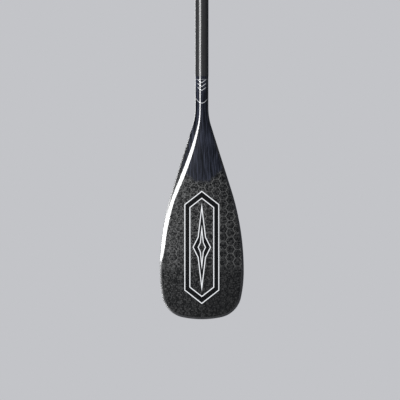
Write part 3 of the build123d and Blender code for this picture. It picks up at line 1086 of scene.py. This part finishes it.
    def rail(self, name: str) -> bpy.types.Object:
        """One rounded section carried along the outline, from one side of the neck to the other.

        Args:
            name: the piece's name.

        Returns:
            The rail.
        """
        start, count, around = self.share_at(self.rail_start), self.rail_steps, self.rail_points
        shares = [start + (1 - start) * i / count for i in range(count + 1)]
        path = [(share, 1) for share in shares] + [(share, -1) for share in reversed(shares[:-1])]
        section_size = 4 * around + 2
        clear_selection()
        bpy.ops.mesh.primitive_grid_add(
            x_subdivisions=section_size - 1, y_subdivisions=len(path) - 1, size=2.0)
        piece = bpy.context.object
        vertices = sorted(piece.data.vertices, key=lambda v: (round(v.co.y, 6), round(v.co.x, 6)))
        for i, (share, hand) in enumerate(path):
            for j, point in enumerate(self.rail_section(share, hand, around)):
                vertices[i * section_size + j].co = point
        tidy_mesh(piece, 1e-7)
        bpy.ops.object.mode_set(mode="EDIT")
        bpy.ops.mesh.select_all(action="DESELECT")
        bpy.ops.mesh.select_mode(type="VERT")
        bpy.ops.mesh.select_non_manifold(extend=False)
        bpy.ops.mesh.fill_holes(sides=0)
        bpy.ops.object.mode_set(mode="OBJECT")
        tidy_mesh(piece, 1e-7)
        return settle(piece, name, radians(40))

    def rail_section(self, share: float, hand: int, around: int) -> list[Point]:
        """The rail's section at one place, in order round it.

        Args:
            share: place along the rim.
            hand: 1 on the right and -1 on the left.
            around: points in each of its four stretches.

        Returns:
            The section's points, the first and the last the same.
        """
        x, z, nx, nz = self.edge(share, 0.0)
        width = max(self.inset(-z), 0.25 * MM)

        def put(taken: float, y: float) -> Point:
            """Point taken in from the rim, at its y."""
            return hand * (x - taken * nx), y, z - taken * nz

        def surface(side: int, taken: float) -> float:
            """Y of the blade's surface, taken in from the rim."""
            px, pz = x - taken * nx, z - taken * nz
            return self.face_y(side, min(px, self.reach(-pz)), pz)

        half = (surface(1, 0.0) - surface(-1, 0.0)) / 2
        rounding = min(self.rail_rounding, half * 0.9, width * 0.6)
        points: list[Point] = []
        for side in (-1, 1):
            run = []
            for i in range(around):
                taken = width + (rounding - width) * i / around
                run.append(put(taken, surface(side, taken)))
            outer = surface(side, rounding)
            for i in range(around + 1):
                angle = pi / 2 * i / around
                drop = rounding * (1 - cos(angle))
                run.append(put(rounding * (1 - sin(angle)), outer - side * drop))
            points += run if side < 0 else run[::-1]
        return points[: 4 * around + 2]

    def build(self, lacquer: bpy.types.Material, back: bpy.types.Material, rail: bpy.types.Material) -> None:
        """Makes both skins and the rail, and dresses them.

        Args:
            lacquer: finish of the front skin.
            back: finish of the back skin.
            rail: finish of the rail.
        """
        finish_piece(self.sheet(-1, "blade_front"), "paddle", lacquer, ["front_skin"])
        finish_piece(self.sheet(1, "blade_back"), "paddle", back, ["back_skin"])
        finish_piece(self.rail("blade_rail"), "paddle", rail, ["edge_rail"])


# ================================================================ shaft clamp
def prism(points: Sequence[Pair], low: float, high: float) -> bpy.types.Object:
    """An upright solid on an outline: a filled circle with its corners moved there, then extruded.

    Args:
        points: the outline's corners, seen from above.
        low: its lower end.
        high: its upper end.

    Returns:
        The solid.
    """
    clear_selection()
    bpy.ops.mesh.primitive_circle_add(vertices=len(points), radius=1.0, fill_type="NGON")
    piece = bpy.context.object
    for vertex, (x, y) in zip(piece.data.vertices, points):
        vertex.co = (x, y, low)
    bpy.ops.object.mode_set(mode="EDIT")
    bpy.ops.mesh.select_all(action="SELECT")
    bpy.ops.mesh.extrude_region_move(TRANSFORM_OT_translate={"value": (0.0, 0.0, high - low)})
    bpy.ops.object.mode_set(mode="OBJECT")
    tidy_mesh(piece)
    return piece


@dataclass
class ShaftClamp:
    """Split collar with ears, the cam lever that closes it and the fluted nut that sets its pull.

    The lever's slot is a fan round its pivot, which leaves room for the bolt at every angle of the lever.
    """

    middle: float = 1030.0 * MM
    collar_radius: float = 19.0 * MM
    bore: float = 14.5 * MM
    collar_height: float = 34.0 * MM
    ear_reach: float = 33.0 * MM
    ear_half: float = 10.0 * MM
    ear_height: float = 26.0 * MM
    ear_corner: float = 5.0 * MM
    slit: float = 2.5 * MM
    bolt_x: float = 26.0 * MM
    bolt_hole: float = 2.65 * MM
    wrap_radius: float = 23.4 * MM
    wrap: float = radians(115.0)
    tab: float = 9.0 * MM
    tab_flare: float = radians(24.0)
    thickness: float = 3.6 * MM
    lever_height: float = 18.0 * MM
    cam_radius: float = 8.4 * MM
    cam_throw: float = 1.2 * MM
    pivot_y: float = -21.83 * MM
    pin_hole: float = 3.65 * MM
    bolt_slot: float = 5.8 * MM
    nut_face: float = 11.2 * MM
    nut_radius: float = 7.4 * MM
    nut_length: float = 9.0 * MM
    nut_hole: float = 2.55 * MM
    groove_lifts: Pair = (-8.5 * MM, 8.5 * MM)
    groove_width: float = 1.6 * MM
    groove_depth: float = 0.5 * MM
    slot_reach: float = 19.2 * MM
    slot_start: float = 142.0
    slot_sweep: float = 214.0
    slot_sides: int = 3
    ribs: int = 4
    rib_radius: float = 0.55 * MM
    rib_first: float = 1.6
    rib_pitch: float = 1.7
    nut_sides: int = 64
    flute_every: int = 4
    flute_depth: float = 0.8 * MM
    dish_rim: float = 1.6 * MM
    dish_depth: float = 0.8 * MM

    def collar(self) -> bpy.types.Object:
        """The split collar: a ring with two grooves, joined to rounded ears and slit between them.

        Returns:
            The collar.
        """
        centre = (0.0, 0.0, self.middle)
        ring = cylinder(self.collar_radius, self.collar_height, centre, 96)
        for lift in self.groove_lifts:
            place = (0.0, 0.0, self.middle + lift)
            groove = cylinder(self.collar_radius + 2 * MM, self.groove_width, place, 96)
            kept = cylinder(self.collar_radius - self.groove_depth, 2 * self.groove_width, place, 96)
            join_shape(groove, kept, "DIFFERENCE")
            join_shape(ring, groove, "DIFFERENCE")
        ear_size = (self.ear_reach, 2 * self.ear_half, self.ear_height)
        ear = block(ear_size, (self.ear_reach / 2, 0.0, self.middle))
        self.round_ears(ear)
        join_shape(ring, ear, "UNION")
        join_shape(ring, cylinder(self.bore, 2 * self.collar_height, centre, 96), "DIFFERENCE")
        gap_size = (2 * self.ear_reach, self.slit, 2 * self.collar_height)
        join_shape(ring, block(gap_size, (self.ear_reach, 0.0, self.middle)), "DIFFERENCE")
        hole = cylinder(self.bolt_hole, 60 * MM, (self.bolt_x, 0.0, self.middle), 32, ALONG_Y)
        join_shape(ring, hole, "DIFFERENCE")
        bevel(ring, 0.45 * MM, radians(40))
        return settle(ring, "clamp_collar_moulding", radians(35))

    def round_ears(self, ear: bpy.types.Object) -> None:
        """Rounds the ears' two far corners.

        Args:
            ear: the block that both ears are cut from.
        """
        for edge in ear.data.edges:
            ends = [ear.data.vertices[i].co for i in edge.vertices]
            far = all(end.x > self.ear_reach * 0.9 for end in ends)
            edge.select = far and abs(ends[0].y - ends[1].y) > self.ear_half
        for vertex in ear.data.vertices:
            vertex.select = False
        activate(ear)
        bpy.ops.object.mode_set(mode="EDIT")
        bpy.ops.mesh.select_mode(type="EDGE")
        bpy.ops.mesh.bevel(offset=self.ear_corner, segments=8, affect="EDGES")
        bpy.ops.object.mode_set(mode="OBJECT")

    def arm_path(self, steps: int = 36) -> list[tuple[Vector, Vector]]:
        """Points along the middle of the lever's arm, each with the direction across it.

        Args:
            steps: how many pieces the wrapped stretch has.

        Returns:
            The points and directions, from the cam to the tab's end.
        """
        points = [Vector((self.bolt_x, self.pivot_y - self.cam_radius + self.thickness))]
        for i in range(steps + 1):
            turn = self.wrap * i / steps
            points.append(Vector((-self.wrap_radius * sin(turn), -self.wrap_radius * cos(turn))))
        heading = self.wrap - self.tab_flare
        for share in (0.5, 1.0):
            way = Vector((-cos(heading), sin(heading))) * self.tab * share
            points.append(points[steps + 1] + way)
        path = []
        for i, point in enumerate(points):
            ahead = points[min(i + 1, len(points) - 1)] - points[max(i - 1, 0)]
            path.append((point, Vector((-ahead.y, ahead.x)).normalized()))
        return path

    def lever(self) -> bpy.types.Object:
        """The lever: a wrapped arm with a ribbed thumb tab, joined to a slotted cam.

        Returns:
            The lever.
        """
        path, half = self.arm_path(), self.thickness / 2
        outline = [point + across * half for point, across in path]
        outline += [point - across * half for point, across in reversed(path)]
        low, high = self.middle - self.lever_height / 2, self.middle + self.lever_height / 2
        arm = prism([(p.x, p.y) for p in outline], low, high)
        cam_centre = (self.bolt_x, self.pivot_y + self.cam_throw, self.middle)
        join_shape(arm, cylinder(self.cam_radius, self.lever_height, cam_centre, 64), "UNION")
        pivot = (self.bolt_x, self.pivot_y, self.middle)
        reach, half_slot, sides = self.slot_reach, self.bolt_slot / 2, self.slot_sides
        turns = [radians(self.slot_start - self.slot_sweep * i / sides) for i in range(sides + 1)]
        fan = [(pivot[0], pivot[1])]
        fan += [(pivot[0] + reach * cos(turn), pivot[1] + reach * sin(turn)) for turn in turns]
        join_shape(arm, prism(fan[::-1], self.middle - half_slot, self.middle + half_slot), "DIFFERENCE")
        join_shape(arm, cylinder(self.pin_hole, 2 * self.lever_height, pivot, 48), "DIFFERENCE")
        end, across = path[-1]
        along = Vector((across.y, -across.x))
        for i in range(self.ribs):
            back = along * (self.rib_first + self.rib_pitch * i) * MM
            spot = end + across * (half - 0.1 * MM) * self.outer_side(path) - back
            rib = cylinder(self.rib_radius, self.lever_height - 3 * MM, (spot.x, spot.y, self.middle), 12)
            join_shape(arm, rib, "UNION")
        bevel(arm, 0.4 * MM, radians(50))
        return settle(arm, "cam_lever_arm", radians(40))

    def outer_side(self, path: Sequence[tuple[Vector, Vector]]) -> float:
        """1 if the direction across the tab points away from the shaft, and -1 if it points to it."""
        end, across = path[-1]
        return 1.0 if end.dot(across) > 0 else -1.0

    def nut(self) -> bpy.types.Object:
        """The thumb nut: a bevelled cylinder with pressed flutes and a dished face.

        Returns:
            The nut.
        """
        centre = (self.bolt_x, self.nut_face + self.nut_length / 2, self.middle)
        piece = cylinder(self.nut_radius, self.nut_length, centre, self.nut_sides, ALONG_Y)
        sides = [face.index for face in piece.data.polygons if abs(face.normal.y) < 0.5]
        chosen = set(sorted(sides, key=lambda i: self.turn_of(piece, i))[::self.flute_every])
        pick_faces(piece, lambda face: face.index in chosen)
        activate(piece)
        bpy.ops.object.mode_set(mode="EDIT")
        bpy.ops.mesh.select_mode(type="FACE")
        bpy.ops.mesh.inset(thickness=0.12 * MM, depth=-self.flute_depth, use_individual=True)
        bpy.ops.object.mode_set(mode="OBJECT")
        end_y = self.nut_face + self.nut_length
        pick_faces(piece, lambda face: face.normal.y > 0.9 and face.center.y > end_y - 0.1 * MM)
        bpy.ops.object.mode_set(mode="EDIT")
        bpy.ops.mesh.inset(thickness=self.dish_rim, depth=0.0)
        bpy.ops.mesh.inset(thickness=0.4 * MM, depth=-self.dish_depth)
        bpy.ops.object.mode_set(mode="OBJECT")
        join_shape(piece, cylinder(self.nut_hole, 3 * self.nut_length, centre, 32, ALONG_Y), "DIFFERENCE")
        bevel(piece, 0.25 * MM, radians(50))
        return settle(piece, "thumb_nut_fluted", radians(35))

    def turn_of(self, piece: bpy.types.Object, index: int) -> float:
        """Angle of a face of the nut round its axis."""
        centre = piece.data.polygons[index].center
        return atan2(centre.z - self.middle, centre.x - self.bolt_x)

    def build(self, finishes: dict[str, bpy.types.Material]) -> None:
        """Makes the collar, the lever and the nut, and dresses them.

        Args:
            finishes: the finishes by material slot.
        """
        finish_piece(self.collar(), "paddle", finishes["black_nylon"], ["clamp_collar"])
        finish_piece(self.lever(), "lever", finishes["lever_alloy"], ["cam_lever"])
        finish_piece(self.nut(), "nut", finishes["nut_alloy"], ["thumb_nut"])


# ================================================================ length scale
@dataclass
class LengthScale:
    """Raised printed numbers beside the extension tube's tick marks, in centimetres of overall length."""

    radius: float = 13.0 * MM
    lift: float = 0.05 * MM
    height: float = 3.8 * MM
    text_share: float = 1.38
    first: int = 175
    last: int = 210
    step: int = 5
    rest_length: float = 181.0
    reading_z: float = 1055.0 * MM
    left: float = 0.9 * MM

    def number(self, value: int) -> bpy.types.Object:
        """One number, made a mesh and wrapped on the tube's front.

        Args:
            value: the number.

        Returns:
            The object.
        """
        clear_selection()
        bpy.ops.object.text_add()
        text = bpy.context.object
        text.data.body = str(value)
        text.data.size = self.height * self.text_share
        text.data.extrude = self.lift / 2
        text.data.resolution_u = 3
        bpy.ops.object.convert(target="MESH")
        piece = bpy.context.object
        apply_modifier(piece, "TRIANGULATE")
        middle_z = self.reading_z - (value - self.rest_length) * 10 * MM
        for vertex in piece.data.vertices:
            reach = self.radius + self.lift / 2 + vertex.co.z
            turn = (vertex.co.x + self.left) / self.radius
            vertex.co = (reach * sin(turn), -reach * cos(turn), middle_z + vertex.co.y - self.height / 2)
        tidy_mesh(piece, 1e-7)
        return piece

    def build(self, ink: bpy.types.Material) -> None:
        """Makes every number and joins them into one piece.

        Args:
            ink: their finish.
        """
        numbers = [self.number(value) for value in range(self.first, self.last + 1, self.step)]
        clear_selection()
        for piece in numbers:
            piece.select_set(True)
        bpy.context.view_layer.objects.active = numbers[0]
        bpy.ops.object.join()
        piece = settle(numbers[0], "length_scale_numbers", radians(30))
        finish_piece(piece, "extension", ink)


# ================================================================ studio
def shown(grey: Sequence[int]) -> Colour:
    """Linear colour of an 8-bit display colour."""
    return tuple(((v / 255 + 0.055) / 1.055) ** 2.4 for v in grey)


@dataclass
class Studio:
    """Pale grey surroundings, a pale floor, tall soft strips of light and the camera."""

    backdrop: tuple[int, int, int] = (195, 196, 200)
    floor_z: float = -0.85
    target: Point = (-0.00394, 0.0, -0.2705)
    distance: float = 10.0
    frame_width: float = 0.876
    strip_turn: float = 31.0
    strip_width: float = 1.0
    strip_height: float = 3.6
    strip_power: float = 330.0
    strip_distance: float = 4.0
    strip_z: float = 0.6
    back_turn: float = 156.0
    back_z: float = 0.4
    back_distance: float = 4.5
    back_size: Pair = (1.6, 3.0)
    back_power: float = 60.0
    room: Colour = (0.78, 0.86, 1.0)
    room_strength: float = 0.13
    floor_radius: float = 3.0
    floor_fade: Pair = (2.9, 1.2)
    floor_colours: tuple[Colour, Colour] = ((0.74, 0.745, 0.77), (0.78, 0.785, 0.81))

    def camera(self) -> None:
        """Camera level with the middle of the view, looking along +Y."""
        data = bpy.data.cameras.new("camera")
        data.sensor_width = 36.0
        data.lens = data.sensor_width * self.distance / self.frame_width
        data.clip_end = 100.0
        camera = bpy.data.objects.new("camera", data)
        camera.location = (self.target[0], -self.distance, self.target[2])
        camera.rotation_euler = (radians(90), 0.0, 0.0)
        bpy.context.scene.collection.objects.link(camera)
        bpy.context.scene.camera = camera
        bpy.context.scene.view_settings.view_transform = "Standard"

    def panel(self, name: str, turn: float, lift: float, distance: float, size: Pair, power: float) -> None:
        """One soft rectangular light that faces the paddle.

        Args:
            name: its name.
            turn: degrees round from the front, towards the left of the front view.
            lift: height of its middle.
            distance: how far away it stands.
            size: its width and height.
            power: its power.
        """
        data = bpy.data.lights.new(name, "AREA")
        data.shape = "RECTANGLE"
        data.size, data.size_y = size
        data.energy = power
        light = bpy.data.objects.new(name, data)
        place = Vector((-sin(radians(turn)), -cos(radians(turn)), 0.0)) * distance
        place.z = lift
        light.location = place
        aim = Vector((0.0, 0.0, lift)) - place
        light.rotation_euler = aim.to_track_quat("-Z", "Y").to_euler()
        light.visible_camera = False
        bpy.context.scene.collection.objects.link(light)

    def world(self) -> None:
        """Pale grey to the eye, and a dim room for reflections."""
        world = bpy.data.worlds.new("room")
        bpy.context.scene.world = world
        world.use_nodes = True
        tree = world.node_tree
        seen = tree.nodes["Background"]
        seen.inputs["Color"].default_value = (*shown(self.backdrop), 1.0)
        room = tree.nodes.new("ShaderNodeBackground")
        room.inputs["Color"].default_value = (*self.room, 1.0)
        room.inputs["Strength"].default_value = self.room_strength
        path = tree.nodes.new("ShaderNodeLightPath")
        choice = tree.nodes.new("ShaderNodeMixShader")
        tree.links.new(path.outputs["Is Camera Ray"], choice.inputs["Fac"])
        tree.links.new(room.outputs[0], choice.inputs[1])
        tree.links.new(seen.outputs[0], choice.inputs[2])
        tree.links.new(choice.outputs[0], tree.nodes["World Output"].inputs["Surface"])

    def floor(self) -> None:
        """Round pale floor that fades into the surroundings."""
        clear_selection()
        bpy.ops.mesh.primitive_circle_add(
            vertices=96, radius=self.floor_radius, fill_type="NGON", location=(0, 0, self.floor_z))
        floor = settle(bpy.context.object, "floor")
        g = Graph("floor_paint")
        x, y, _ = g.place()
        away = (x * x + y * y).math("SQRT")
        grain = g.noise((9, 9, 9), detail=3.0)
        g.dress(Base_Color=g.mix(grain, *self.floor_colours), Roughness=0.9)
        g.dress(Alpha=away.ramp(*self.floor_fade), Specular_IOR_Level=0.1)
        floor.data.materials.append(g.material)

    def build(self) -> None:
        """Sets up the camera, the surroundings, the floor and the lights."""
        self.camera()
        self.world()
        self.floor()
        strip = (self.strip_width, self.strip_height)
        self.panel("strip_front", self.strip_turn, self.strip_z, self.strip_distance, strip, self.strip_power)
        back = (self.back_turn, self.back_z, self.back_distance, self.back_size, self.back_power)
        self.panel("panel_back", *back)


# ================================================================ the whole paddle
class Slot(Enum):
    """Finishes of the nodes that keep their own shape, by the record's material slot."""

    satin_carbon = TubeCarbon("shaft_satin")
    extension_carbon = TubeCarbon("extension_satin", scale=(0.765, 1.155))
    inner_carbon = TubeCarbon("raw_laminate", roughness=0.6)
    foam = Moulded("closed_foam", (0.62, 0.57, 0.45), 0.85, 700.0, 0.2 * MM)
    black_nylon = Moulded("moulded_nylon", (0.022, 0.022, 0.024), 0.46)
    saddle_plastic = Moulded("acetal", (0.09, 0.09, 0.094), 0.38)
    lever_alloy = Metal("black_anodised", (0.05, 0.05, 0.053), 0.34)
    stainless = Metal("stainless_steel", (0.55, 0.55, 0.56), 0.26, Turned.ALONG_BOLT)
    nut_alloy = Metal("grey_anodised", (0.36, 0.37, 0.39), 0.3, Turned.ALONG_BOLT)
    seal_rubber = Moulded("seal_rubber", (0.012, 0.012, 0.012), 0.7)
    grip_plastic = Moulded("grip_stipple", (0.026, 0.026, 0.028), 0.52, 900.0, 0.18 * MM)


def dress_nodes(finishes: dict[str, bpy.types.Material]) -> None:
    """Gives every CAD node the finish of its slot in the record.

    Args:
        finishes: the finishes by material slot.
    """
    for part in frame["record"]["subparts"]:
        node = frame["nodes"][part["node"]]
        material = finishes.get(part["material_slot"])
        if material is None:
            continue
        for slot in node.material_slots:
            slot.material = material
        log.info("%s keeps its shape, dressed in %s", part["node"], material.name)


def main() -> None:
    logging.basicConfig(level=logging.INFO, format="%(name)s: %(message)s")
    Studio().build()
    finishes = {slot.name: slot.value.build() for slot in Slot}
    lacquer = BladeLacquer().build()
    plain = BladeLacquer(name="blade_back_lacquer", printed=False).build()
    rail = Moulded("rail_gloss", (0.010, 0.010, 0.011), 0.3, 1400.0, 0.01 * MM, coat=1.0).build()
    finishes["gloss_carbon"], finishes["edge_plastic"] = plain, rail
    dress_nodes(finishes)
    Blade().build(lacquer, plain, rail)
    ShaftClamp().build(finishes)
    LengthScale().build(Moulded("scale_ink", (0.62, 0.63, 0.64), 0.5).build())


if __name__ == "__main__":
    main()
